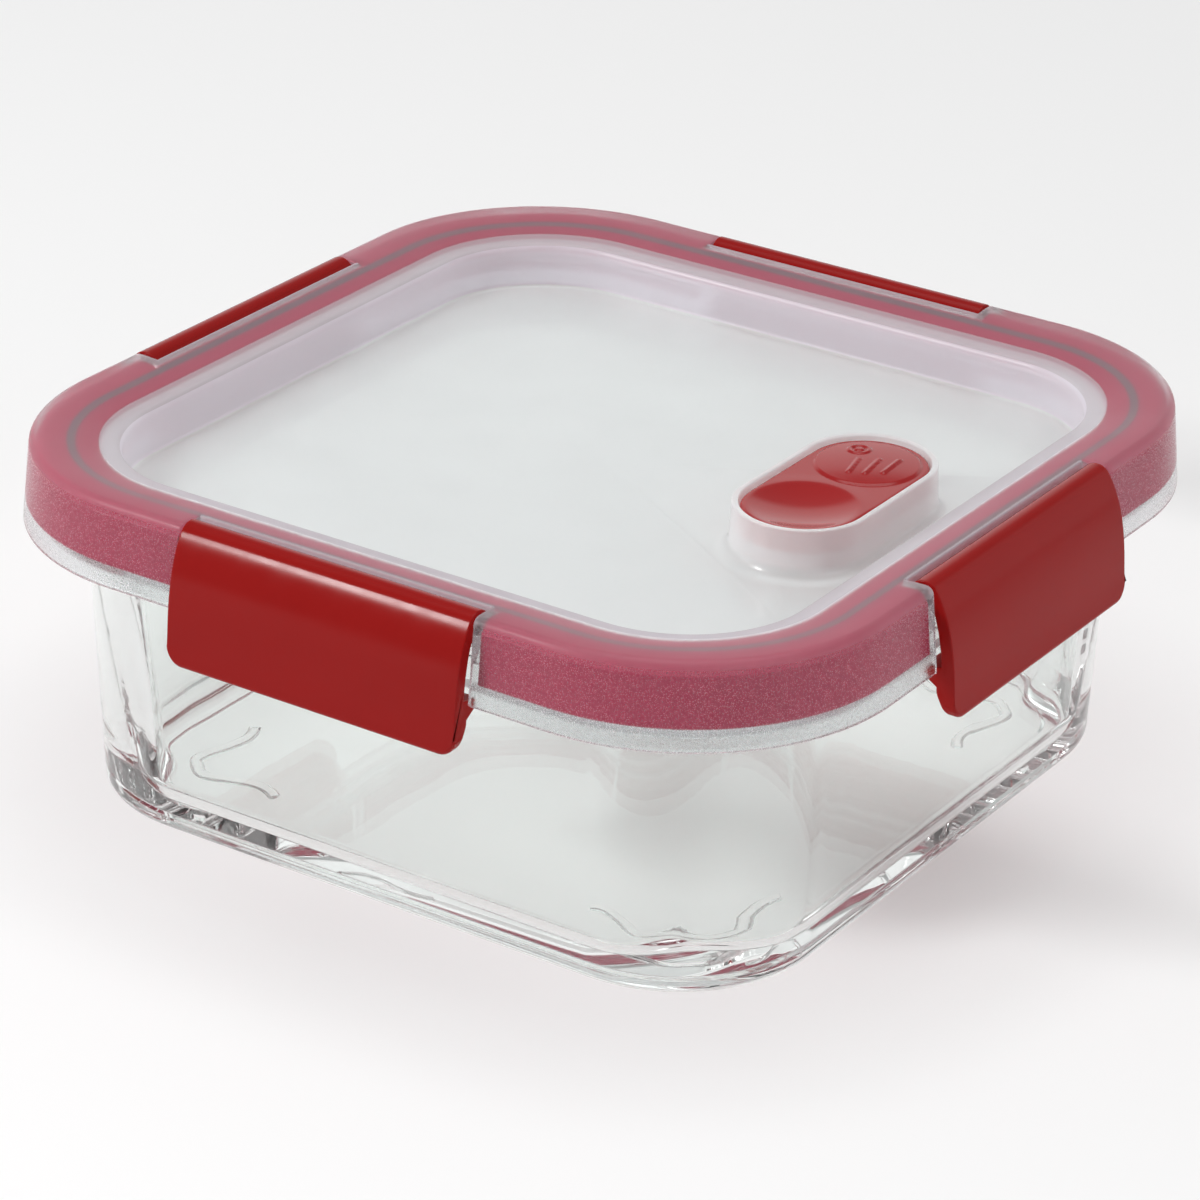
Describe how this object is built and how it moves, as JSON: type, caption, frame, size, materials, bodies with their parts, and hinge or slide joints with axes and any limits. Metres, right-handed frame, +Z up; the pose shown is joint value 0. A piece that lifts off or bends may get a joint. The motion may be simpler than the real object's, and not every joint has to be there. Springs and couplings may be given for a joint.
{
  "type": "glass storage container",
  "caption": "Square glass food storage dish with a clear lid, a red liner gasket, hinged side clips and a rocking steam vent.",
  "frame": {"origin": "centre of the base, on the surface that the container stands on", "axes": "+Z up; X and Y square to the sides, with the steam vent towards +X; -Y is the front"},
  "size_m": [0.1724, 0.1724, 0.0659],
  "materials": {
    "dish_glass": "clear, fire polished",
    "lid_clear": "clear, with a finely frosted skirt",
    "liner_red": "satin",
    "clip_red": "gloss",
    "vent_red": "gloss",
    "plug_silicone": "matte"
  },
  "bodies": {
    "dish": {"glass_dish": "dish_glass"},
    "lid": {"lid_shell": "lid_clear", "lid_gasket": "liner_red"},
    "right_clip": {"clip_right": "clip_red"},
    "back_clip": {"clip_back": "clip_red"},
    "left_clip": {"clip_left": "clip_red"},
    "front_clip": {"clip_front": "clip_red"},
    "vent": {"vent_rocker": "vent_red", "vent_plug": "plug_silicone"}
  },
  "joints": [
    {"name": "lid_lift", "type": "slide", "parent": "dish", "child": "lid", "axis": [0, 0, 1], "range_m": [0, 0.06]},
    {"name": "right_clip_hinge", "type": "hinge", "parent": "lid", "child": "right_clip", "pos_m": [0.079, 0, 0.0631], "axis": [0, -1, 0], "range_deg": [0, 105]},
    {"name": "back_clip_hinge", "type": "hinge", "parent": "lid", "child": "back_clip", "pos_m": [0, 0.079, 0.0631], "axis": [1, 0, 0], "range_deg": [0, 105]},
    {"name": "left_clip_hinge", "type": "hinge", "parent": "lid", "child": "left_clip", "pos_m": [-0.079, 0, 0.0631], "axis": [0, 1, 0], "range_deg": [0, 105]},
    {"name": "front_clip_hinge", "type": "hinge", "parent": "lid", "child": "front_clip", "pos_m": [0, -0.079, 0.0631], "axis": [-1, 0, 0], "range_deg": [0, 105]},
    {"name": "vent_rock", "type": "hinge", "parent": "lid", "child": "vent", "pos_m": [0.0453, 0, 0.0613], "axis": [1, 0, 0], "range_deg": [0, 9]}
  ]
}
